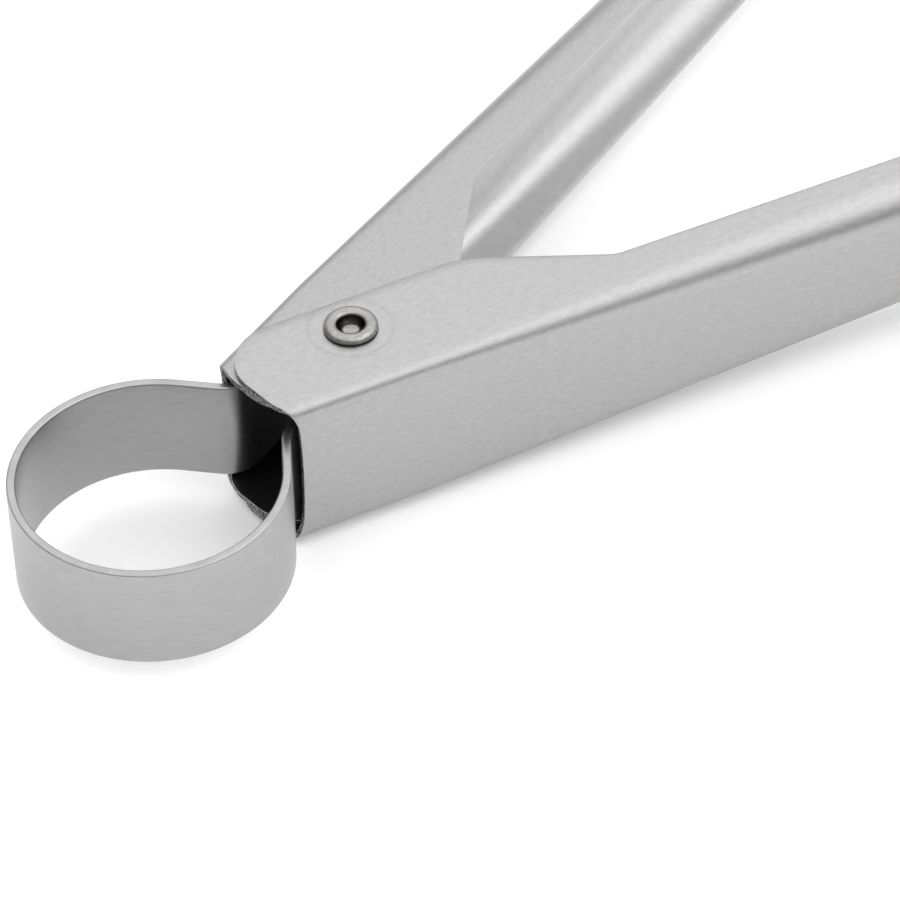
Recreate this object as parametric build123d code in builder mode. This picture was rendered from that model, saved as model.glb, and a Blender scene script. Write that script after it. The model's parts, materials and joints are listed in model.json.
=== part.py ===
from build123d import *
from math import acos, atan2, cos, hypot, radians, sin
import os

# Spring loaded kitchen tongs, lying on their side with the jaws open.
# Two channel shaped arms are nested at their ears and turn on one rivet.
# A flat strip, bent to an open ring with two legs, pushes them apart.
# The origin is on the axis of the hanging ring, at half the height of the arms.
# +X runs from the ring to the jaws, +Z is parallel to the pivot. Millimetres.

os.makedirs("parts", exist_ok=True)

# ---- driving dimensions -------------------------------------------------
LENGTH_FROM_PIVOT = 254.0   # pivot to the tip of a jaw: tongs of 12 inches
OPEN_ANGLE = 15.13          # each arm to the middle plane, jaws open
SHEET = 0.8                 # sheet of the arms
EAR_GAP = 0.15              # play between the nested ears
ARM_HEIGHT = 22.35          # outer arm over its two flanges
NESTING = SHEET + EAR_GAP   # how much lower the inner arm is, at each side

RING_RADIUS = 16.25         # inside of the hanging ring
PIVOT_X = 32.9              # ring axis to pivot axis
STRIP = 1.15                # thickness of the spring strip
STRIP_WIDTH = 14.9
NECK_HALF_GAP = 4.6         # inside of the spring at its neck
NECK_BEND = 4.4             # radius of the neck, on its face towards the middle
NECK_X = 19.3               # ring axis to the centre of the neck bends
LEG_START_ANGLE = 13.2      # direction of a leg where it leaves the neck
LEG_REACH = 20.0            # along the arm, past the pivot
LEG_TIP_PLAY = 0.1          # between the tip of a leg and the web it bears on

SHANK_RADIUS = 2.4          # rivet of 3/16 inch
EAR_HOLE_PLAY = 0.06        # the inner arm turns on the shank
CLINCH_RADIUS = 3.48
CLINCH_HEIGHT = 1.05
CLINCH_BORE = 1.65
CLINCH_BORE_BOTTOM = 1.2
CLINCH_BORE_DEPTH = 1.3
HEAD_RADIUS = 4.15
HEAD_HEIGHT = 1.3
HEAD_RIM = 0.4

EAR_END = 16.3              # pivot to the square rear end of the ears, jaws open
EAR_CORNER = 7.0
EAR_FRONT = 5.35            # ear past the middle plane of its arm, in front
EAR_ROUND = 12.0            # where the edge of an ear turns down to the flange
SHOULDER_SLOPE = 0.4866     # fall of that edge for each mm along the arm
KINK_ROUND = 4.0            # where it meets the edge of the flange
RIM = 0.2                   # rim of a jaw to the middle plane, jaws closed
RIM_START = 200.0
RIM_ROUND = 60.0
WEB_END = 12.1              # pivot to the slightly hollow rear end of a web
WEB_END_RADIUS = 120.0
WEB_END_DEPTH = 1.6         # how far in from the web's face it is cut

SCALLOP_PITCH = 9.0
SCALLOP_RADIUS = 4.2
SCALLOP_DEPTH = 1.6
SCALLOPS = 5                # on each side of a jaw
FIRST_SCALLOP = 203.0
TIP_SCALLOPS = 3
TIP_SCALLOP_TURN = 28.0     # between two scallops, about the centre of the tip
TIP_RADIUS = 19.0           # round tip of a jaw, seen from outside

FAR = 30.0                  # past every face of an arm, for cutting shapes
TRIM = 1.0

OUTER = -1                  # the outer arm lies on the -Y side
INNER = 1

# Each arm: middle plane to the web's face, middle plane to the ear's edge at the
# rear, pivot to the kink where the ear's edge meets the flange's, and middle
# plane to the flange's edge at both ends.
OUTER_WEB = 10.66
OUTER_EAR = 5.2
OUTER_KINK = 36.0
OUTER_FLANGE = 3.3
OUTER_FLANGE_END = 4.6
INNER_WEB = 11.4
INNER_EAR = 4.4
INNER_KINK = 33.6
INNER_FLANGE = 3.1
INNER_FLANGE_END = 4.4

# Handle: distance from the pivot, loss of half the height, radius of the bends.
HANDLE_END = 160.0
HANDLE_ROUND = 80.0         # of the flange's edge, where the handle meets the jaw
STATION_STEP = 8.0
HANDLE_STATIONS = [
    (5.0, 0.0, 1.5),
    (78.0, 0.0, 6.0),
    (115.0, 0.5, 7.2),
    (HANDLE_END, 1.8, 7.6),
]

# Jaw: distance from the pivot, half the height, middle plane to the web's face,
# radius of the two bends.
JAW_STATIONS = [
    (182.0, 9.6, 11.2, 8.0),
    (202.0, 13.4, 11.3, 9.5),
    (220.0, 16.8, 10.6, 11.5),
    (236.0, 17.5, 8.0, 12.5),
    (248.0, 17.5, 4.2, 13.5),
    (256.0, 17.5, 0.6, 14.0),
]


def key_stations(web, lower):
    """Stations that set the shape of an arm, from its straight part to the tip."""
    half = ARM_HEIGHT / 2 - lower
    handle = [(x, half - loss, web, bend) for x, loss, bend in HANDLE_STATIONS]
    return handle + JAW_STATIONS


def smooth_station(keys, x):
    """Section at x, on smooth curves through the key stations."""
    after = next(i for i, key in enumerate(keys) if key[0] >= x and i > 0)
    first, second = keys[after - 1], keys[after]
    span = second[0] - first[0]
    before, beyond = keys[max(after - 2, 0)], keys[min(after + 1, len(keys) - 1)]
    t = (x - first[0]) / span
    section = [x]
    for column in range(1, 4):
        slope_in = (second[column] - before[column]) / (second[0] - before[0]) * span
        slope_out = (beyond[column] - first[column]) / (beyond[0] - first[0]) * span
        rise = second[column] - first[column]
        bulge = slope_in * (1 - t) - slope_out * t + rise * (2 * t - 1)
        section.append(first[column] + rise * t + t * (1 - t) * bulge)
    return section


def along(side):
    """Direction of an arm, jaws open."""
    return Vector(cos(radians(OPEN_ANGLE)), side * sin(radians(OPEN_ANGLE)), 0)


def inward(side):
    """Direction from an arm's web to the other arm, square to the arm."""
    return Vector(sin(radians(OPEN_ANGLE)), -side * cos(radians(OPEN_ANGLE)), 0)


def on_arm(side, x, y):
    """Point at x along an arm from the pivot and y inward of its middle plane."""
    return Vector(PIVOT_X, 0, 0) + along(side) * x + inward(side) * y


def channel_section(side, station, inset):
    """Filled outline of the channel at a station, inset by a wall."""
    x, half_height, web, bend = station
    floor = inset - web
    flank = half_height - inset
    open_side = FAR + inset
    with BuildSketch(Plane(on_arm(side, x, 0), x_dir=inward(side), z_dir=along(side))) as section:
        with BuildLine():
            Polyline(
                (open_side, -flank),
                (floor, -flank),
                (floor, flank),
                (open_side, flank),
                close=True,
            )
        make_face()
        fillet(section.vertices().group_by(Axis.X)[0], bend - inset)
    return section.sketch


def channel(side, web, lower, inset, mode):
    """Solid body of an arm's channel and jaw, inset by a wall."""
    keys = key_stations(web, lower)
    start, end = keys[1][0], keys[-1][0]
    steps = round((end - start) / STATION_STEP)
    stations = [(-FAR, *keys[0][1:]), keys[0]]
    stations += [smooth_station(keys, start + (end - start) * i / steps) for i in range(steps + 1)]
    loft([channel_section(side, station, inset) for station in stations], ruled=True, mode=mode)


def end_x(y):
    """x of an ear's rear end, which is square to the middle plane, jaws open."""
    return (-EAR_END - y * sin(radians(OPEN_ANGLE))) / cos(radians(OPEN_ANGLE))


def side_outline(side, ear, kink, flange, flange_end):
    """Arm seen along the pivot: flange edges, ears, rear end, rim."""
    flip = -side
    ear_front = kink - (EAR_FRONT + flange) / SHOULDER_SLOPE
    flat = Plane(Vector(PIVOT_X, 0, -FAR), x_dir=along(side), z_dir=(0, 0, 1))
    with BuildSketch(flat) as outline:
        with BuildLine():
            Polyline(
                (end_x(-FAR), -FAR * flip),
                (LENGTH_FROM_PIVOT, -FAR * flip),
                (LENGTH_FROM_PIVOT, -RIM * flip),
                (RIM_START, -RIM * flip),
                (HANDLE_END, -flange_end * flip),
                (kink, -flange * flip),
                (ear_front, EAR_FRONT * flip),
                (end_x(ear), ear * flip),
                close=True,
            )
        make_face()
        rounds = [
            (RIM_START, -RIM, RIM_ROUND),
            (HANDLE_END, -flange_end, HANDLE_ROUND),
            (kink, -flange, KINK_ROUND),
            (ear_front, EAR_FRONT, EAR_ROUND),
            (end_x(ear), ear, EAR_CORNER),
        ]
        for x, y, radius in rounds:
            fillet(outline.vertices().sort_by_distance((x, y * flip))[0], radius)
        for i in range(SCALLOPS):
            bite = (FIRST_SCALLOP + i * SCALLOP_PITCH, (SCALLOP_RADIUS - SCALLOP_DEPTH - RIM) * flip)
            with Locations(bite):
                Circle(SCALLOP_RADIUS, mode=Mode.SUBTRACT)
    return outline.sketch


def tip_outline(side):
    """Round, scalloped tip of a jaw, seen square to the arm's web."""
    face = Plane(on_arm(side, 0, -FAR), x_dir=along(side), z_dir=inward(side))
    centre = LENGTH_FROM_PIVOT - TIP_RADIUS
    with BuildSketch(face) as tip:
        with Locations((centre / 2 - FAR / 2, 0)):
            Rectangle(centre + FAR, 2 * FAR)
        with Locations((centre, 0)):
            Circle(TIP_RADIUS)
        for i in range(TIP_SCALLOPS):
            turn = radians((i - (TIP_SCALLOPS - 1) / 2) * TIP_SCALLOP_TURN)
            reach = TIP_RADIUS + SCALLOP_RADIUS - SCALLOP_DEPTH
            with Locations((centre + reach * cos(turn), reach * sin(turn))):
                Circle(SCALLOP_RADIUS, mode=Mode.SUBTRACT)
    return tip.sketch


def web_end(side, web):
    """Outline that cuts the hollow rear end of a web."""
    face = Plane(on_arm(side, 0, -web - TRIM), x_dir=along(side), z_dir=inward(side))
    with BuildSketch(face) as hollow:
        with Locations((-WEB_END - WEB_END_RADIUS, 0)):
            Circle(WEB_END_RADIUS)
    return hollow.sketch


def arm(side, web, lower, ear, kink, flange, flange_end, hole):
    """One stamped arm, made in the part builder that is open."""
    channel(side, web, lower, 0.0, Mode.ADD)
    channel(side, web, lower, SHEET, Mode.SUBTRACT)
    extrude(side_outline(side, ear, kink, flange, flange_end), 2 * FAR, mode=Mode.INTERSECT)
    extrude(tip_outline(side), 2 * FAR, mode=Mode.INTERSECT)
    extrude(web_end(side, web), TRIM + WEB_END_DEPTH, mode=Mode.SUBTRACT)
    with BuildSketch(Plane(Vector(PIVOT_X, 0, -FAR))) as pivot_hole:
        Circle(hole)
    extrude(pivot_hole.sketch, 2 * FAR, mode=Mode.SUBTRACT)


def neck_points(side):
    """Ring end, neck start, neck turn and leg start of the strip's middle line."""
    ring_middle = RING_RADIUS + STRIP / 2
    neck_middle = NECK_BEND - STRIP / 2
    neck_y = NECK_HALF_GAP + NECK_BEND
    turn = atan2(neck_y, NECK_X) + acos((ring_middle + neck_middle) / hypot(NECK_X, neck_y))
    leg = radians(LEG_START_ANGLE)
    return [
        (ring_middle * cos(turn), side * ring_middle * sin(turn)),
        (NECK_X - neck_middle * cos(turn), side * (neck_y - neck_middle * sin(turn))),
        (NECK_X, side * (neck_y - neck_middle)),
        (NECK_X + neck_middle * sin(leg), side * (neck_y - neck_middle * cos(leg))),
    ]


def strip_half(side, web):
    """Neck and leg of the spring on one side, drawn from the ring."""
    ring_end, neck_start, neck_turn, leg_start = neck_points(side)
    leg = radians(LEG_START_ANGLE)
    tip = on_arm(side, LEG_REACH, SHEET + LEG_TIP_PLAY + STRIP / 2 - web)
    Line(ring_end, neck_start)
    ThreePointArc(neck_start, neck_turn, leg_start)
    TangentArc(leg_start, (tip.X, tip.Y), tangent=(cos(leg), side * sin(leg)))


# ---- arms ------------------------------------------------------------------
with BuildPart() as outer_arm:
    arm(OUTER, OUTER_WEB, 0.0, OUTER_EAR, OUTER_KINK, OUTER_FLANGE, OUTER_FLANGE_END, SHANK_RADIUS)
outer_arm.part.label = "outer_arm"
export_step(outer_arm.part, "parts/outer_arm.step")

with BuildPart() as inner_arm:
    arm(
        INNER, INNER_WEB, NESTING, INNER_EAR, INNER_KINK, INNER_FLANGE, INNER_FLANGE_END,
        SHANK_RADIUS + EAR_HOLE_PLAY,
    )
inner_arm.part.label = "inner_arm"
export_step(inner_arm.part, "parts/inner_arm.step")

# ---- spring: one strip bent to a ring, a neck and two legs -------------------
with BuildPart() as ring_spring:
    with BuildSketch(Plane.XY.offset(-STRIP_WIDTH / 2)):
        with BuildLine():
            back = (-RING_RADIUS - STRIP / 2, 0)
            ThreePointArc(neck_points(OUTER)[0], back, neck_points(INNER)[0])
            strip_half(OUTER, OUTER_WEB)
            strip_half(INNER, INNER_WEB)
        trace(line_width=STRIP)
    extrude(amount=STRIP_WIDTH)
ring_spring.part.label = "ring_spring"
export_step(ring_spring.part, "parts/ring_spring.step")

# ---- rivet: domed head below, rolled clinch above ----------------------------
with BuildPart() as pivot_rivet:
    half = ARM_HEIGHT / 2
    lip = (CLINCH_RADIUS - CLINCH_BORE) / 2
    lip_base = half + CLINCH_HEIGHT - lip
    with BuildSketch(Plane(Vector(PIVOT_X, 0, 0), x_dir=(1, 0, 0), z_dir=(0, -1, 0))):
        with BuildLine():
            Polyline(
                (0, -half - HEAD_HEIGHT),
                (0, half + CLINCH_HEIGHT - CLINCH_BORE_DEPTH),
                (CLINCH_BORE_BOTTOM, half + CLINCH_HEIGHT - CLINCH_BORE_DEPTH),
                (CLINCH_BORE, lip_base),
            )
            ThreePointArc(
                (CLINCH_BORE, lip_base),
                (CLINCH_BORE + lip, half + CLINCH_HEIGHT),
                (CLINCH_RADIUS, lip_base),
            )
            Polyline(
                (CLINCH_RADIUS, lip_base),
                (CLINCH_RADIUS, half),
                (SHANK_RADIUS, half),
                (SHANK_RADIUS, -half),
                (HEAD_RADIUS, -half),
                (HEAD_RADIUS, -half - HEAD_RIM),
            )
            TangentArc(
                (0, -half - HEAD_HEIGHT),
                (HEAD_RADIUS, -half - HEAD_RIM),
                tangent=(1, 0),
            )
        make_face()
    revolve(axis=Axis((PIVOT_X, 0, 0), (0, 0, 1)))
pivot_rivet.part.label = "pivot_rivet"
export_step(pivot_rivet.part, "parts/pivot_rivet.step")
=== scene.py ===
import json
import math
from collections import namedtuple

import bpy
from mathutils import Matrix, Vector


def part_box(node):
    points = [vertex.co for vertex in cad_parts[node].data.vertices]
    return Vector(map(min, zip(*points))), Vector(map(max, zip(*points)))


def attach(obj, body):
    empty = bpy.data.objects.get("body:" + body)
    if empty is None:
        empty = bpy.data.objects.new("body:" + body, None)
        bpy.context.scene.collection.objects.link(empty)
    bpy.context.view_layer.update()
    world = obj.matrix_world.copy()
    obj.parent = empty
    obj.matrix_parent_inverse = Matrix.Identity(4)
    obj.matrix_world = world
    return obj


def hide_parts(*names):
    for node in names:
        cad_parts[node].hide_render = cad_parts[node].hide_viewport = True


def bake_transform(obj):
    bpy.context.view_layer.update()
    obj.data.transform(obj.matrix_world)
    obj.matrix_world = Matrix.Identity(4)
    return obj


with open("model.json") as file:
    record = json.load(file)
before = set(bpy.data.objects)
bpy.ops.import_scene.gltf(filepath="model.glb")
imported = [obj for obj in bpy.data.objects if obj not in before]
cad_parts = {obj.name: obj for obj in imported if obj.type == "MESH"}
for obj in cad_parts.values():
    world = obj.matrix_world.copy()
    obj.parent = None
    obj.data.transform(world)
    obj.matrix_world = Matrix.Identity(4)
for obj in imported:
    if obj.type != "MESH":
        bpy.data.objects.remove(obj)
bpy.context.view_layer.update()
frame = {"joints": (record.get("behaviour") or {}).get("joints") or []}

# Spring loaded kitchen tongs: two stamped arms, a strip spring and a rivet.
# Lengths are in metres. An arm's own coordinates run from the pivot:
# x along the arm, y inward to the other arm, z parallel to the pivot.

MM = 0.001
PIVOT = Vector(frame["joints"][0]["pos_m"])
OPEN = math.radians(15.13)   # each arm to the middle plane
SMOOTH_BELOW = 40            # degrees between faces that are shaded as one

# Rivet
SHANK = 2.4 * MM
CLINCH_RADIUS = 3.48 * MM
CLINCH_HEIGHT = 1.05 * MM
CLINCH_ROLL = 0.8 * MM       # height of the round part of the rolled lip
CLINCH_FOOT = 3.05 * MM      # radius under the lip
CLINCH_BORE = 1.65 * MM
CLINCH_BORE_BOTTOM = 1.2 * MM
CLINCH_BORE_DEPTH = 1.3 * MM
BORE_MIDDLE = 0.3 * MM
TOOL_RING = 5.4 * MM         # mark of the clinching tool on the sheet
TOOL_RING_WIDTH = 1.0 * MM
HEAD_RADIUS = 4.15 * MM
HEAD_HEIGHT = 1.3 * MM
HEAD_RIM = 0.4 * MM
RIVET_SIDES = 72
DOME_STEPS, ROLL_STEPS = 10, 12

# Sheet of the arms
SHEET = 0.8 * MM
ARM_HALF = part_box("pivot_rivet")[1].z - CLINCH_HEIGHT
NESTING = 0.95 * MM
TIP = 254.0 * MM
BEND = 1.7 * MM
EDGE_BEVEL = 0.09 * MM
EDGE_ANGLE = math.radians(50)

# Rear end of an arm
EAR_END = 16.3 * MM          # pivot to the square end of the ears
EAR_CORNER = 7.0 * MM
WEB_END = 12.1 * MM
WEB_END_RADIUS = 120.0 * MM
END_SWEEP = (7.6 * MM, 13.4 * MM)   # lengths from the web's middle, between web end and ear end
END_FADE = 14.0 * MM         # rows of the sheet follow the shape of the end up to here
STRAIGHT_FROM = 24.0 * MM    # rows of the sheet are square to the arm from here on

# Edge of the sheet, from the ear to the jaw
EAR_FRONT = 5.35 * MM
EAR_ROUND = 12.0 * MM
SHOULDER_SLOPE = 0.4866      # fall of the edge from an ear to the flange
KINK_ROUND = 4.0 * MM
HANDLE_END = 160.0 * MM
HANDLE_ROUND = 80.0 * MM
RIM_START = 200.0 * MM
RIM_ROUND = 60.0 * MM
RIM = 0.2 * MM               # rim of a jaw to the middle plane, jaws closed
ROW_STEP = 0.9 * MM

# One arm: its side, web to the pivot, how much lower it nests, how far its ears reach past
# the pivot, where the edge kinks, how far the flange's edge stays back from the middle plane
# there and at the handle's end, and the radius of its pivot hole
Arm = namedtuple("Arm", "side web lower ear kink flange flange_end hole")
OUTER = Arm(side=-1, web=10.66 * MM, lower=0.0, ear=5.2 * MM, kink=36.0 * MM,
            flange=3.3 * MM, flange_end=4.6 * MM, hole=SHANK)
INNER = Arm(side=1, web=11.4 * MM, lower=NESTING, ear=4.2 * MM, kink=33.6 * MM,
            flange=3.1 * MM, flange_end=4.4 * MM, hole=2.46 * MM)

# Handle section keys: x, loss of half the height, bend radius, in mm
HANDLE_KEYS = [
    (5.0, 0.0, BEND / MM),
    (78.0, 0.0, 6.0),
    (115.0, 0.5, 7.2),
    (160.0, 1.8, 7.6),
]
# Jaw section keys: x, half the height, web to middle plane, bend radius, in mm
JAW_KEYS = [
    (182.0, 9.6, 11.2, 8.0),
    (202.0, 13.4, 11.3, 9.5),
    (220.0, 16.8, 10.6, 11.5),
    (236.0, 17.4, 7.97, 12.5),
    (248.0, 17.4, 4.17, 13.5),
    (256.0, 17.4, 0.57, 14.0),
]
TIP_RADIUS = 19.0 * MM
JAW_ROUND_FROM = 224.0 * MM
SCALLOP_PITCH = 9.0 * MM
FIRST_SCALLOP = 203.0 * MM
LAST_SCALLOP = 239.0 * MM
SCALLOP_DEPTH = 1.6 * MM
TIP_SCALLOP_TURN = math.radians(28)
TIP_SCALLOPS_END = 1.4 * TIP_SCALLOP_TURN
TIP_SCALLOP_SHARE = 0.8      # of the depth of the others

# Columns of the sheet from the middle of the web to the edge
FLAT_COLUMNS, BEND_COLUMNS, SIDE_COLUMNS = 8, 9, 8
BENT_COLUMNS = FLAT_COLUMNS + BEND_COLUMNS
HALF_COLUMNS = BENT_COLUMNS + SIDE_COLUMNS
BENT_SHARE = 0.72            # most of the length that the web and bend may take up
LEAST_DEPTH = 0.02           # least depth of a wall, as a share of its bend

# Spring
STRIP = 1.15 * MM
STRIP_WIDTH = 2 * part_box("ring_spring")[1].z
STRIP_ROUND = 0.3 * MM
RING_RADIUS = -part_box("ring_spring")[0].x - STRIP
RING_STEPS, NECK_STEPS = 96, 24
NECK_HALF_GAP = 4.6 * MM
NECK_BEND = 4.4 * MM
NECK_X = 19.3 * MM
LEG_ANGLE = math.radians(13.2)
LEG_REACH = 20.0 * MM
LEG_TIP_PLAY = 0.1 * MM

# Camera, floor and light
CAMERA_PLACE = Vector((-0.21292, -0.29393, 0.35390))
CAMERA_TARGET = Vector((0.034806, -0.01605, 0.0))
CAMERA_ROLL = math.radians(-1.0572)
LENS = 164.67
FILM = 36.0
JAW_REST = 228.0 * MM        # pivot to where the jaws touch the floor
FLOOR_SIZE = 6.0
SOFTBOX_PLACE = Vector((0.42, -0.65, 0.82))
SOFTBOX_SIZE = (1.2, 0.8)
SOFTBOX_POWER = 2.1
SURROUND_STRENGTH = 1.55


# ---- small helpers ---------------------------------------------------------
def linear(hex_colour):
    """sRGB hex colour as linear RGBA."""
    channels = [int(hex_colour[i:i + 2], 16) / 255 for i in (1, 3, 5)]
    return [c / 12.92 if c <= 0.04045 else ((c + 0.055) / 1.055) ** 2.4 for c in channels] + [1.0]


def select_only(piece):
    bpy.ops.object.select_all(action="DESELECT")
    piece.select_set(True)
    bpy.context.view_layer.objects.active = piece


def apply_modifier(piece, kind, **settings):
    """Adds a modifier with its settings and applies it."""
    modifier = piece.modifiers.new(kind.lower(), kind)
    for key, value in settings.items():
        setattr(modifier, key, value)
    select_only(piece)
    bpy.ops.object.modifier_apply(modifier=modifier.name)


def smooth_by_angle(piece, degrees):
    select_only(piece)
    bpy.ops.object.shade_smooth_by_angle(angle=math.radians(degrees))


# ---- materials ---------------------------------------------------------------
def node(material, kind, inputs=None, **settings):
    """Adds a node: settings are its properties, inputs are values or links."""
    tree = material.node_tree
    made = tree.nodes.new(kind)
    for key, value in settings.items():
        setattr(made, key, value)
    for key, value in (inputs or {}).items():
        if isinstance(value, bpy.types.NodeSocket):
            tree.links.new(value, made.inputs[key])
        else:
            made.inputs[key].default_value = value
    return made


def metal(name, colour, roughness, anisotropic=0.0):
    """Starts a bare metal: returns the material and its shader."""
    material = bpy.data.materials.new(name)
    material.use_nodes = True
    shader = material.node_tree.nodes["Principled BSDF"]
    shader.inputs["Base Color"].default_value = linear(colour)
    shader.inputs["Metallic"].default_value = 1.0
    shader.inputs["Roughness"].default_value = roughness
    shader.inputs["Anisotropic"].default_value = anisotropic
    return material, shader


def feed(material, shader, name, socket):
    """Links a socket to an input of the shader."""
    material.node_tree.links.new(socket, shader.inputs[name])


def noise(material, place, cells, detail=3.0, roughness=0.6):
    """Socket with noise of so many cells for each metre, along the three axes."""
    scaled = node(material, "ShaderNodeMapping", {"Vector": place, "Scale": cells})
    return node(material, "ShaderNodeTexNoise", {
        "Vector": scaled.outputs["Vector"], "Scale": 1.0, "Detail": detail,
        "Roughness": roughness}).outputs["Fac"]


def maths(material, operation, first, second=0.0):
    """Socket with the result of a sum on one or two values."""
    return node(material, "ShaderNodeMath", {0: first, 1: second}, operation=operation).outputs["Value"]


def ramp(material, value, start, end, low=0.0, high=1.0, interpolation="LINEAR"):
    """Socket that goes from low to high while a value goes from start to end."""
    return node(material, "ShaderNodeMapRange", {
        "Value": value, "From Min": start, "From Max": end, "To Min": low, "To Max": high},
        interpolation_type=interpolation).outputs["Result"]


def mixed(material, factor, first, second):
    """Socket with a colour between two others, each a hex colour or a socket."""
    ends = [linear(end) if isinstance(end, str) else end for end in (first, second)]
    return node(material, "ShaderNodeMix", {"Factor": factor, "A": ends[0], "B": ends[1]},
                data_type="RGBA").outputs[2]


def add_relief(material, shader, height, strength, distance):
    """Bumps the surface by a height socket."""
    bump = node(material, "ShaderNodeBump", {
        "Height": height, "Strength": strength, "Distance": distance})
    feed(material, shader, "Normal", bump.outputs["Normal"])


def from_pivot_axis(material, place):
    """Socket with the distance from the pivot's axis, from Object coordinates."""
    centred = node(material, "ShaderNodeMapping", {"Vector": place, "Location": -PIVOT})
    flat = node(material, "ShaderNodeVectorMath", {0: centred.outputs["Vector"], 1: (1, 1, 0)},
                operation="MULTIPLY")
    return node(material, "ShaderNodeVectorMath", {0: flat.outputs["Vector"]},
                operation="LENGTH").outputs["Value"]


def brushed_sheet_steel():
    """Stainless sheet, tumbled then brushed along the arm: short soft streaks over a fine peel."""
    material, shader = metal("brushed_stainless_sheet", "#a9a9a9", 0.34, 0.3)
    sheet_place = node(material, "ShaderNodeTexCoord").outputs["UV"]
    place = node(material, "ShaderNodeTexCoord").outputs["Object"]
    # streaks 2 mm long and 0.2 mm wide, cloudy patches of about 1 mm by 0.5 mm
    streaks = noise(material, sheet_place, (500, 5000, 1), detail=4.0)
    patches = noise(material, sheet_place, (900, 1800, 1))
    mottle = maths(material, "ADD", streaks, patches)
    # the clinching tool leaves a faint ring round the rivet
    off_ring = maths(material, "SUBTRACT", from_pivot_axis(material, place), TOOL_RING)
    near_ring = maths(material, "ABSOLUTE", off_ring)
    pressed = ramp(material, near_ring, 0.0, TOOL_RING_WIDTH / 2, -0.25, 0.0, "SMOOTHSTEP")
    height = maths(material, "ADD", mottle, pressed)
    tone = mixed(material, ramp(material, height, 0.6, 1.4), "#9f9f9f", "#b4b4b4")
    feed(material, shader, "Base Color", tone)
    # forming roughens the sheet just inside the level of the ears' outer faces
    across = node(material, "ShaderNodeSeparateXYZ", {"Vector": place})
    level = maths(material, "ABSOLUTE", across.outputs["Z"])
    bent = ramp(material, level, ARM_HALF - 2.0 * BEND, ARM_HALF - 0.4 * BEND, 0.0, 0.12)
    flat = ramp(material, level, ARM_HALF - 0.12 * BEND, ARM_HALF - 0.02 * BEND, 0.0, 0.12)
    strained = maths(material, "SUBTRACT", bent, flat)
    brushed = ramp(material, patches, 0.0, 1.0, 0.30, 0.39)
    feed(material, shader, "Roughness", maths(material, "ADD", brushed, strained))
    add_relief(material, shader, height, 0.25, 0.03 * MM)
    tangent = node(material, "ShaderNodeTangent", direction_type="UV_MAP")
    feed(material, shader, "Tangent", tangent.outputs["Tangent"])
    return material


def mill_finish_inside():
    """Inside of the sheet: bright unbrushed mill finish, with painted shade near the pivot."""
    material, shader = metal("bright_mill_finish_stainless", "#cfcfcf", 0.5)
    place = node(material, "ShaderNodeTexCoord").outputs["Object"]
    # cloudy patches of about 1 mm
    clouds = noise(material, place, (900, 900, 900))
    bright = mixed(material, clouds, "#c3c3c3", "#d8d8d8")
    # painted shade: the inside turns dark towards the pivot, where the ears and the ring close the
    # channel
    along = node(material, "ShaderNodeSeparateXYZ", {"Vector": place})
    outside_painted_shade = ramp(material, along.outputs["X"], PIVOT.x - 3 * MM, PIVOT.x + 24 * MM,
                 interpolation="SMOOTHSTEP")
    feed(material, shader, "Base Color", mixed(material, outside_painted_shade, "#3a3a3a", bright))
    add_relief(material, shader, clouds, 0.2, 0.03 * MM)
    return material


def sheared_edge():
    """Cut edge of stainless sheet: pale along the arm, torn grains in painted shade at the ears' rear
    ends.
    """
    material, shader = metal("sheared_steel_edge", "#b9b9b9", 0.45)
    place = node(material, "ShaderNodeTexCoord").outputs["Object"]
    # torn grains of about 0.3 mm
    torn = noise(material, place, (3200, 3200, 3200), roughness=0.7)
    pale = mixed(material, torn, "#a5a5a5", "#dcdcdc")
    # painted shade: towards the ears' rear ends the torn grains are painted dark
    dark = mixed(material, ramp(material, torn, 0.42, 0.62), "#2b2b2b", "#b4b4b4")
    along = node(material, "ShaderNodeSeparateXYZ", {"Vector": place})
    front = ramp(material, along.outputs["X"], PIVOT.x - 13 * MM, PIVOT.x - 8 * MM)
    feed(material, shader, "Base Color", mixed(material, front, dark, pale))
    add_relief(material, shader, torn, 0.5, 0.06 * MM)
    return material


def brushed_strip_steel():
    """Cold rolled spring strip: fine lines along the strip."""
    material, shader = metal("brushed_spring_strip", "#a6a6a6", 0.33)
    place = node(material, "ShaderNodeTexCoord").outputs["Object"]
    # lines about 2 mm long and 0.2 mm apart up the strip
    lines = noise(material, place, (450, 450, 5000), detail=4.0, roughness=0.65)
    feed(material, shader, "Base Color", mixed(material, lines, "#949494", "#b6b6b7"))
    feed(material, shader, "Roughness", ramp(material, lines, 0.0, 1.0, 0.29, 0.38))
    add_relief(material, shader, lines, 0.25, 0.03 * MM)
    return material


def headed_rivet_steel():
    """Steel rivet as clinched: bright and dented by the tool, with painted shade round the wall of its
    bore.
    """
    material, shader = metal("headed_rivet_steel", "#999896", 0.27)
    place = node(material, "ShaderNodeTexCoord").outputs["Object"]
    # dents of about 0.6 mm
    dents = noise(material, place, (1600, 1600, 1600))
    worn = mixed(material, dents, "#7c7b7a", "#b1b0ae")
    # painted shade: a ring round the wall of the bore is painted dark, so the hole reads as deep
    off_wall = maths(material, "SUBTRACT", from_pivot_axis(material, place),
                     (CLINCH_BORE + CLINCH_BORE_BOTTOM) / 2)
    near_wall = maths(material, "ABSOLUTE", off_wall)
    outside_painted_shade = ramp(material, near_wall, 0.3 * MM, 0.55 * MM, interpolation="SMOOTHSTEP")
    feed(material, shader, "Base Color", mixed(material, outside_painted_shade, "#3c3b3a", worn))
    add_relief(material, shader, dents, 0.5, 0.1 * MM)
    return material


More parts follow.
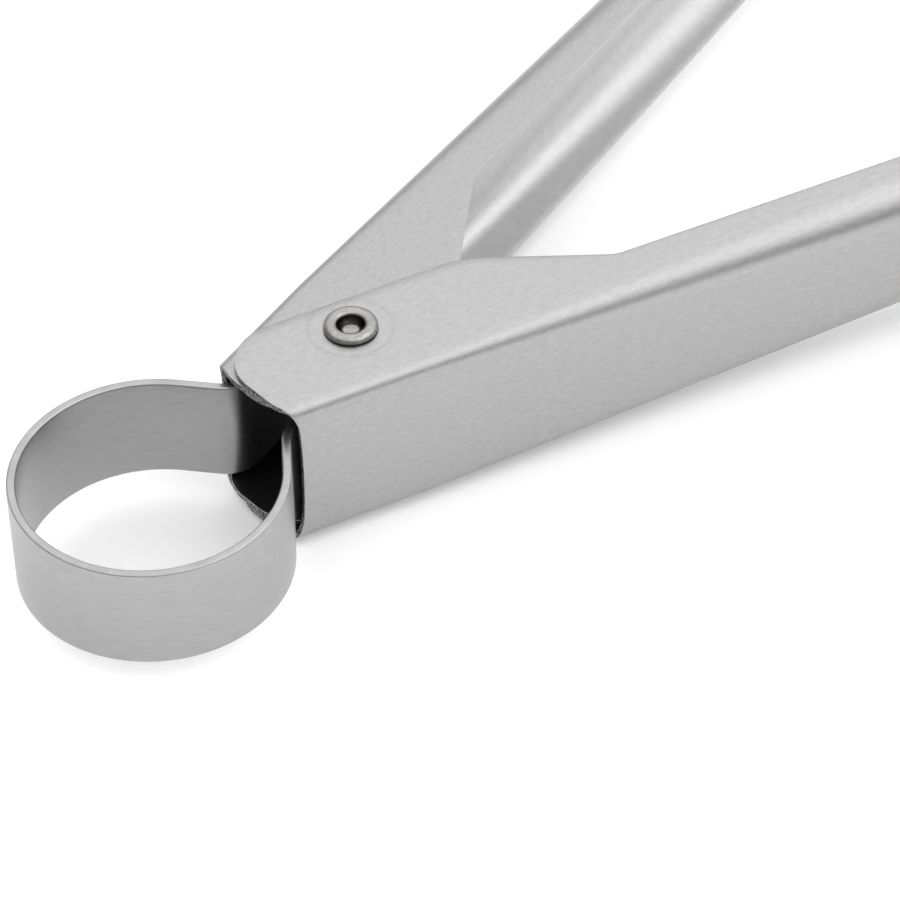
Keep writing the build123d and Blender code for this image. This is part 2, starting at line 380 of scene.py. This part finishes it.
# ---- arms ----------------------------------------------------------------------
def rounded_line(corners, step):
    """Points along a line through corners (x, y, radius), rounded at each corner."""
    points = []
    last = len(corners) - 1
    for i, (x, y, radius) in enumerate(corners):
        here = Vector((x, y))
        if i in (0, last):
            bent = [here]
        else:
            back = (Vector(corners[i - 1][:2]) - here).normalized()
            ahead = (Vector(corners[i + 1][:2]) - here).normalized()
            turn = math.pi - back.angle(ahead)
            reach = radius * math.tan(turn / 2)
            centre = here + (back + ahead).normalized() * radius / math.cos(turn / 2)
            start, end = here + back * reach - centre, here + ahead * reach - centre
            sweep = math.atan2(start.cross(end), start.dot(end))
            count = max(3, math.ceil(radius * turn / step))
            bent = [centre + Matrix.Rotation(sweep * k / count, 2) @ start for k in range(count + 1)]
        if points:
            gap = bent[0] - points[-1]
            count = max(1, round(gap.length / step))
            points += [points[-1] + gap * (k / count) for k in range(1, count)]
        points += [point for point in bent if not points or (point - points[-1]).length > 0.1 * step]
    return points


def arm_keys(arm):
    """Section keys of an arm, in metres."""
    half = ARM_HALF - arm.lower
    handle = [(x * MM, half - loss * MM, arm.web, bend * MM) for x, loss, bend in HANDLE_KEYS]
    return handle + [tuple(value * MM for value in key) for key in JAW_KEYS]


def section_at(keys, x):
    """Half height, web and bend radius at x, on smooth curves through the keys."""
    if x <= keys[0][0]:
        return keys[0][1:]
    if x <= keys[1][0]:
        t = (x - keys[0][0]) / (keys[1][0] - keys[0][0])
        return tuple(a + (b - a) * t for a, b in zip(keys[0][1:], keys[1][1:]))
    after = next((i for i, key in enumerate(keys) if key[0] >= x), len(keys) - 1)
    first, second = keys[after - 1], keys[after]
    before, beyond = keys[after - 2], keys[min(after + 1, len(keys) - 1)]
    span = second[0] - first[0]
    t = (x - first[0]) / span
    section = []
    for column in range(1, 4):
        slope_in = (second[column] - before[column]) / (second[0] - before[0]) * span
        slope_out = (beyond[column] - first[column]) / (beyond[0] - first[0]) * span
        rise = second[column] - first[column]
        bulge = slope_in * (1 - t) - slope_out * t + rise * (2 * t - 1)
        section.append(first[column] + rise * t + t * (1 - t) * bulge)
    return tuple(section)


def section_runs(half, bend, depth):
    """Lengths along half a section: to the bend, past the bend, to the edge."""
    turn = math.acos(1 - depth / bend) if depth < bend else math.pi / 2
    flat = half - bend
    past = flat + bend * turn
    return flat, past, past + max(depth - bend, 0)


def wall_depth(web, bend, edge_y):
    """Depth from the web's face to the edge, such that the inner corner of the edge is at edge_y."""
    depth = web + edge_y
    if depth < bend:
        depth -= SHEET * (1 - depth / bend)
    return max(depth, LEAST_DEPTH * bend)


def on_section(run, half, web, bend, depth):
    """Point of half a section: z and y, at a length from its middle."""
    flat, past, _ = section_runs(half, bend, depth)
    if run <= flat:
        return run, -web
    if run <= past:
        angle = (run - flat) / bend
        return flat + bend * math.sin(angle), -web + bend * (1 - math.cos(angle))
    return half, -web + bend + run - past


def run_of_column(column, half, bend, depth):
    """Length along half a section at which a column of the sheet lies."""
    flat, past, edge = section_runs(half, bend, depth)
    past = min(past, BENT_SHARE * edge)
    if column <= FLAT_COLUMNS:
        return flat * column / FLAT_COLUMNS
    if column <= BENT_COLUMNS:
        return flat + (past - flat) * (column - FLAT_COLUMNS) / BEND_COLUMNS
    return past + (edge - past) * (column - BENT_COLUMNS) / SIDE_COLUMNS


def scallop(distance, pitch):
    """Share of the full scallop depth at a distance from its middle."""
    return (0.5 + 0.5 * math.cos(2 * math.pi * distance / pitch)) ** 1.4


def end_x(y):
    """x of the square end of the ears, at y of the arm's own coordinates."""
    return (-EAR_END - y * math.sin(OPEN)) / math.cos(OPEN)


def web_end_x(z):
    """x of the slightly hollow end of the web, at height z."""
    return -WEB_END - WEB_END_RADIUS + math.sqrt(WEB_END_RADIUS ** 2 - z * z)


def sheet_end_x(run, y, z):
    """x of the sheet's rear end: it sweeps from the web's end out to the ear's."""
    low, high = END_SWEEP
    t = min(max((run - low) / (high - low), 0), 1)
    t = t * t * (3 - 2 * t)
    return web_end_x(z) * (1 - t) + end_x(y) * t


def ear_outline(arm):
    """Edge of an arm's sheet from the end of its ear to the jaw: x, y."""
    ear_front = arm.kink - (EAR_FRONT + arm.flange) / SHOULDER_SLOPE
    corner_reach = EAR_CORNER * math.tan((math.pi / 2 + OPEN) / 2)
    below_corner = arm.ear - corner_reach - 0.5 * MM
    corners = [
        (end_x(below_corner), below_corner, 0),
        (end_x(arm.ear), arm.ear, EAR_CORNER),
        (ear_front, EAR_FRONT, EAR_ROUND),
        (arm.kink, -arm.flange, KINK_ROUND),
        (HANDLE_END, -arm.flange_end, HANDLE_ROUND),
        (RIM_START, -RIM, RIM_ROUND),
        (TIP, -RIM, 0),
    ]
    return rounded_line(corners, ROW_STEP)


def rows_at_bend(edge, first_x):
    """x of each row at the bend: in step with the edge to start with, then square to it."""
    lengths = [0.0]
    for a, b in zip(edge, edge[1:]):
        lengths.append(lengths[-1] + (b - a).length)
    square = next(i for i, point in enumerate(edge) if point.x > STRAIGHT_FROM)
    span = edge[square].x - first_x
    curved = [first_x + span * length / lengths[square] for length in lengths[:square]]
    return curved + [point.x for point in edge[square:]]


def tip_x(keys, column):
    """Where a column of the sheet ends at the round, scalloped tip."""
    x = TIP
    # the section depends on x, so x moves half way to its aim until it settles
    for _ in range(30):
        half, web, bend = section_at(keys, x)
        depth = wall_depth(web, bend, -RIM)
        z, _ = on_section(run_of_column(column, half, bend, depth), half, web, bend, depth)
        z = min(z, 0.98 * TIP_RADIUS)
        aim = TIP - TIP_RADIUS + math.sqrt(TIP_RADIUS ** 2 - z * z)
        x += 0.5 * (aim - x)
    turn = math.asin(z / TIP_RADIUS)
    if turn >= TIP_SCALLOPS_END:
        return x
    bite = scallop((turn + TIP_SCALLOP_TURN) % TIP_SCALLOP_TURN, TIP_SCALLOP_TURN)
    return x - SCALLOP_DEPTH * bite * TIP_SCALLOP_SHARE


def formed_point(column, edge_point, bend_x, first_x, keys, tips):
    """Where a point of the blank ends up: x, y, z and its length from the sheet's middle."""
    x = bend_x
    if x > JAW_ROUND_FROM:
        stretch = (tips[column] - JAW_ROUND_FROM) / (TIP - JAW_ROUND_FROM)
        x = JAW_ROUND_FROM + (x - JAW_ROUND_FROM) * stretch
    half, web, bend = section_at(keys, x)
    bite = 0.0
    if FIRST_SCALLOP - SCALLOP_PITCH / 2 < x < LAST_SCALLOP + SCALLOP_PITCH / 2:
        bite = SCALLOP_DEPTH * scallop(x - FIRST_SCALLOP, SCALLOP_PITCH)
    depth = wall_depth(web, bend, edge_point.y - bite)
    run = run_of_column(column, half, bend, depth)
    z, y = on_section(run, half, web, bend, depth)
    fade = max(0.0, 1 - (bend_x - first_x) / END_FADE)
    if column <= BENT_COLUMNS:
        x += (sheet_end_x(run, y, z) - first_x) * fade
    else:
        share = (column - BENT_COLUMNS) / SIDE_COLUMNS
        x += (sheet_end_x(run, y, z) - end_x(y)) * fade + (edge_point.x - bend_x) * share
    return x, y, z, run


def bend_up(mesh, arm, edge):
    """Moves the points of a flat grid to the arm's shape and lays out its UV in metres."""
    rows, columns = len(edge), 2 * HALF_COLUMNS + 1
    keys = arm_keys(arm)
    first_x = end_x(BEND - arm.web)
    bend_xs = rows_at_bend(edge, first_x)
    tips = [tip_x(keys, column) for column in range(HALF_COLUMNS + 1)]
    along = Vector((math.cos(OPEN), arm.side * math.sin(OPEN), 0))
    inward = Vector((math.sin(OPEN), -arm.side * math.cos(OPEN), 0))
    flat_place = {}
    for vertex in mesh.vertices:
        row = round((vertex.co.x + 0.5) * (rows - 1))
        step = round((vertex.co.y + 0.5) * (columns - 1)) - HALF_COLUMNS
        x, y, z, run = formed_point(abs(step), edge[row], bend_xs[row], first_x, keys, tips)
        flat_place[vertex.index] = (x, math.copysign(run, step))
        vertex.co = PIVOT + along * x + inward * y + Vector((0, 0, math.copysign(z, step)))
    for loop in mesh.loops:
        mesh.uv_layers.active.data[loop.index].uv = flat_place[loop.vertex_index]


def face_outward(piece, arm):
    """Turns the faces of a sheet away from the other arm."""
    select_only(piece)
    bpy.ops.object.mode_set(mode="EDIT")
    bpy.ops.mesh.select_all(action="SELECT")
    bpy.ops.mesh.normals_make_consistent(inside=False)
    bpy.ops.object.mode_set(mode="OBJECT")
    middle = piece.data.polygons[len(piece.data.polygons) // 2]
    if middle.normal.y * arm.side < 0:
        bpy.ops.object.mode_set(mode="EDIT")
        bpy.ops.mesh.flip_normals()
        bpy.ops.object.mode_set(mode="OBJECT")


def stamped_arm(name, node_name, arm, finishes):
    """One arm, bent up from a flat blank, with its thickness, edges and pivot hole."""
    edge = ear_outline(arm)
    bpy.ops.object.select_all(action="DESELECT")
    bpy.ops.mesh.primitive_grid_add(
        x_subdivisions=len(edge) - 1, y_subdivisions=2 * HALF_COLUMNS, size=1)
    piece = bpy.context.object
    piece.name = name
    bend_up(piece.data, arm, edge)
    face_outward(piece, arm)
    for finish in finishes:
        piece.data.materials.append(finish)
    apply_modifier(piece, "SOLIDIFY", thickness=SHEET, offset=-1, use_even_offset=True,
                   use_quality_normals=True, material_offset=2, material_offset_rim=1)
    apply_modifier(piece, "BEVEL", width=EDGE_BEVEL, segments=2, limit_method="ANGLE",
                   angle_limit=EDGE_ANGLE, material=0)
    bpy.ops.object.select_all(action="DESELECT")
    bpy.ops.mesh.primitive_cylinder_add(
        vertices=48, radius=arm.hole, depth=4 * ARM_HALF, location=PIVOT)
    drill = bpy.context.object
    drill.data.materials.append(finishes[1])
    apply_modifier(piece, "BOOLEAN", operation="DIFFERENCE", object=drill, solver="EXACT")
    bpy.data.objects.remove(drill)
    smooth_by_angle(piece, SMOOTH_BELOW)
    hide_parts(node_name)
    return piece


# ---- spring ------------------------------------------------------------------
def extrude_to(step):
    """Extrudes what is selected and moves it by a step."""
    bpy.ops.mesh.extrude_region_move(TRANSFORM_OT_translate={"value": step})


def swing(centre, sweep, steps):
    """Spins what is selected about an upright axis: a positive sweep turns x towards y."""
    bpy.ops.mesh.spin(steps=steps, angle=-sweep, center=(centre.x, centre.y, 0), axis=(0, 0, 1))


def spring_half(name, arm, steel):
    """Half of the ring, a neck and a leg, drawn out of the strip's own section."""
    side = arm.side
    ring = RING_RADIUS + STRIP / 2
    bend = NECK_BEND - STRIP / 2
    neck = Vector((NECK_X, side * (NECK_HALF_GAP + NECK_BEND)))
    turn = math.atan2(abs(neck.y), neck.x) + math.acos((ring + bend) / neck.length)
    to_joint = Vector((math.cos(turn), side * math.sin(turn)))
    ring_end = ring * to_joint
    neck_start = neck - bend * to_joint
    leg_side = Vector((math.sin(LEG_ANGLE), -side * math.cos(LEG_ANGLE)))
    leg_start = neck + bend * leg_side
    # the tip of the leg lies against the inside of the web
    reach = SHEET + LEG_TIP_PLAY + STRIP / 2 - arm.web
    c, s = math.cos(OPEN), math.sin(OPEN)
    leg_tip = Vector((PIVOT.x + LEG_REACH * c + reach * s, side * (LEG_REACH * s - reach * c)))
    chord = leg_tip - leg_start
    off = math.atan2(side * chord.y, chord.x) - LEG_ANGLE
    leg_centre = leg_start - leg_side * chord.length / (2 * math.sin(off))

    bpy.ops.object.select_all(action="DESELECT")
    bpy.ops.mesh.primitive_plane_add(size=1, location=(-ring, 0, 0), rotation=(math.pi / 2, 0, 0))
    piece = bpy.context.object
    piece.name = name
    piece.scale = (STRIP, STRIP_WIDTH, 1)
    bpy.ops.object.transform_apply(location=True, rotation=True, scale=True)
    bpy.ops.object.mode_set(mode="EDIT")
    bpy.ops.mesh.select_all(action="SELECT")
    bpy.ops.mesh.bevel(affect="VERTICES", offset=STRIP_ROUND, segments=5)
    bpy.ops.mesh.select_mode(type="FACE")
    bpy.ops.mesh.select_all(action="SELECT")
    swing(Vector((0, 0)), -side * (math.pi - turn), RING_STEPS)
    extrude_to((*(neck_start - ring_end), 0))
    swing(neck, side * (math.pi / 2 + LEG_ANGLE - turn), NECK_STEPS)
    swing(leg_centre, side * 2 * off, NECK_STEPS)
    bpy.ops.mesh.select_all(action="SELECT")
    bpy.ops.mesh.remove_doubles(threshold=0.001 * MM)
    bpy.ops.mesh.normals_make_consistent(inside=False)
    bpy.ops.object.mode_set(mode="OBJECT")
    piece.data.materials.append(steel)
    smooth_by_angle(piece, SMOOTH_BELOW)
    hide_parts("ring_spring")
    return piece


# ---- rivet -------------------------------------------------------------------
def rivet_profile():
    """Radius and height up the rivet: domed head, shank, rolled clinch and bore."""
    lip = (CLINCH_RADIUS - CLINCH_BORE) / 2
    top = ARM_HALF + CLINCH_HEIGHT
    dome = HEAD_HEIGHT - HEAD_RIM
    steps = []
    for k in range(1, DOME_STEPS + 1):
        share = k / DOME_STEPS
        steps.append((HEAD_RADIUS * share, -ARM_HALF - HEAD_RIM - dome * (1 - share ** 2)))
    steps += [(HEAD_RADIUS, -ARM_HALF), (SHANK, -ARM_HALF), (SHANK, ARM_HALF)]
    steps += [(CLINCH_FOOT, ARM_HALF), (CLINCH_FOOT, top - CLINCH_ROLL)]
    for k in range(ROLL_STEPS + 1):
        turn = math.pi * k / ROLL_STEPS
        radius = CLINCH_BORE + lip * (1 + math.cos(turn))
        steps.append((radius, top - CLINCH_ROLL * (1 - math.sin(turn))))
    bottom = top - CLINCH_BORE_DEPTH
    return steps + [(CLINCH_BORE_BOTTOM, bottom), (BORE_MIDDLE, bottom)]


def clinched_rivet(steel):
    """The rivet, raised ring by ring from the middle of its head."""
    profile = rivet_profile()
    bpy.ops.object.select_all(action="DESELECT")
    radius, height = profile[0]
    bpy.ops.mesh.primitive_circle_add(
        vertices=RIVET_SIDES, radius=radius, fill_type="NGON", location=(PIVOT.x, 0, height))
    piece = bpy.context.object
    piece.name = "clinched_rivet"
    bpy.ops.object.transform_apply(location=True, rotation=True, scale=True)
    bpy.ops.object.mode_set(mode="EDIT")
    bpy.ops.mesh.select_mode(type="FACE")
    bpy.ops.mesh.select_all(action="SELECT")
    for next_radius, next_height in profile[1:]:
        extrude_to((0, 0, next_height - height))
        ratio = next_radius / radius
        bpy.ops.transform.resize(value=(ratio, ratio, 1), center_override=(PIVOT.x, 0, 0))
        radius, height = next_radius, next_height
    bpy.ops.mesh.select_all(action="SELECT")
    bpy.ops.mesh.remove_doubles(threshold=0.001 * MM)
    bpy.ops.mesh.normals_make_consistent(inside=False)
    bpy.ops.object.mode_set(mode="OBJECT")
    piece.data.materials.append(steel)
    smooth_by_angle(piece, SMOOTH_BELOW)
    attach(piece, "outer_arm")
    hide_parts("pivot_rivet")


# ---- camera, floor and light -------------------------------------------------
def camera():
    """A long lens from the ring's end, above and to the side of the outer arm."""
    bpy.ops.object.camera_add(location=CAMERA_PLACE)
    made = bpy.context.object
    aim = (CAMERA_TARGET - CAMERA_PLACE).to_track_quat("-Z", "Y").to_matrix().to_4x4()
    roll = Matrix.Rotation(CAMERA_ROLL, 4, "Z")
    made.matrix_world = Matrix.Translation(CAMERA_PLACE) @ aim @ roll
    made.data.lens = LENS
    made.data.sensor_width = FILM
    made.data.clip_start = 10 * MM
    bpy.context.scene.camera = made


def floor():
    """A pale sheet that the two jaws and the rivet's head rest on."""
    jaw_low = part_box("outer_arm")[0].z
    head_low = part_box("pivot_rivet")[0].z
    bpy.ops.object.select_all(action="DESELECT")
    bpy.ops.mesh.primitive_plane_add(size=FLOOR_SIZE)
    made = bpy.context.object
    made.name = "floor"
    made.rotation_euler = (0, math.atan((head_low - jaw_low) / JAW_REST), 0)
    made.location = (PIVOT.x, 0, head_low)
    material = bpy.data.materials.new("matt_white_paper")
    material.use_nodes = True
    shader = material.node_tree.nodes["Principled BSDF"]
    shader.inputs["Base Color"].default_value = linear("#f2f2f2")
    shader.inputs["Roughness"].default_value = 0.9
    shader.inputs["Emission Color"].default_value = (1, 1, 1, 1)
    shader.inputs["Emission Strength"].default_value = 0.15
    made.data.materials.append(material)


def softbox():
    """One large soft light, aimed at the pivot."""
    bpy.ops.object.light_add(type="AREA", location=SOFTBOX_PLACE)
    lamp = bpy.context.object
    lamp.name = "softbox"
    lamp.data.shape = "RECTANGLE"
    lamp.data.size, lamp.data.size_y = SOFTBOX_SIZE
    lamp.data.energy = SOFTBOX_POWER
    lamp.rotation_euler = (PIVOT - SOFTBOX_PLACE).to_track_quat("-Z", "Y").to_euler()


def surround():
    """Bright above, darker at the horizon, and a little darker behind the ring."""
    world = bpy.data.worlds.new("surround")
    bpy.context.scene.world = world
    world.use_nodes = True
    direction = node(world, "ShaderNodeTexCoord").outputs["Generated"]
    towards = node(world, "ShaderNodeSeparateXYZ", {"Vector": direction})
    height = node(world, "ShaderNodeMath", {
        0: towards.outputs["X"], 1: 0.25, 2: towards.outputs["Z"]}, operation="MULTIPLY_ADD")
    shades = node(world, "ShaderNodeValToRGB", {"Fac": height.outputs["Value"]})
    stops = shades.color_ramp.elements
    stops[0].position, stops[0].color = 0.15, (0.20, 0.20, 0.20, 1)
    stops[1].position, stops[1].color = 0.70, (1.0, 1.0, 1.0, 1)
    background = world.node_tree.nodes["Background"]
    world.node_tree.links.new(shades.outputs["Color"], background.inputs["Color"])
    background.inputs["Strength"].default_value = SURROUND_STRENGTH
    bpy.context.scene.view_settings.view_transform = "Standard"


# ---- putting the tongs together ---------------------------------------------
camera()
floor()
softbox()
surround()

sheet_finishes = [brushed_sheet_steel(), sheared_edge(), mill_finish_inside()]
strip_steel = brushed_strip_steel()
rivet_steel = headed_rivet_steel()

outer = stamped_arm("outer_stamping", "outer_arm", OUTER, sheet_finishes)
inner = stamped_arm("inner_stamping", "inner_arm", INNER, sheet_finishes)
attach(outer, "outer_arm")
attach(inner, "inner_arm")

outer_half = spring_half("spring_outer_half", OUTER, strip_steel)
inner_half = spring_half("spring_inner_half", INNER, strip_steel)
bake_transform(outer_half)
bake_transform(inner_half)

clinched_rivet(rivet_steel)
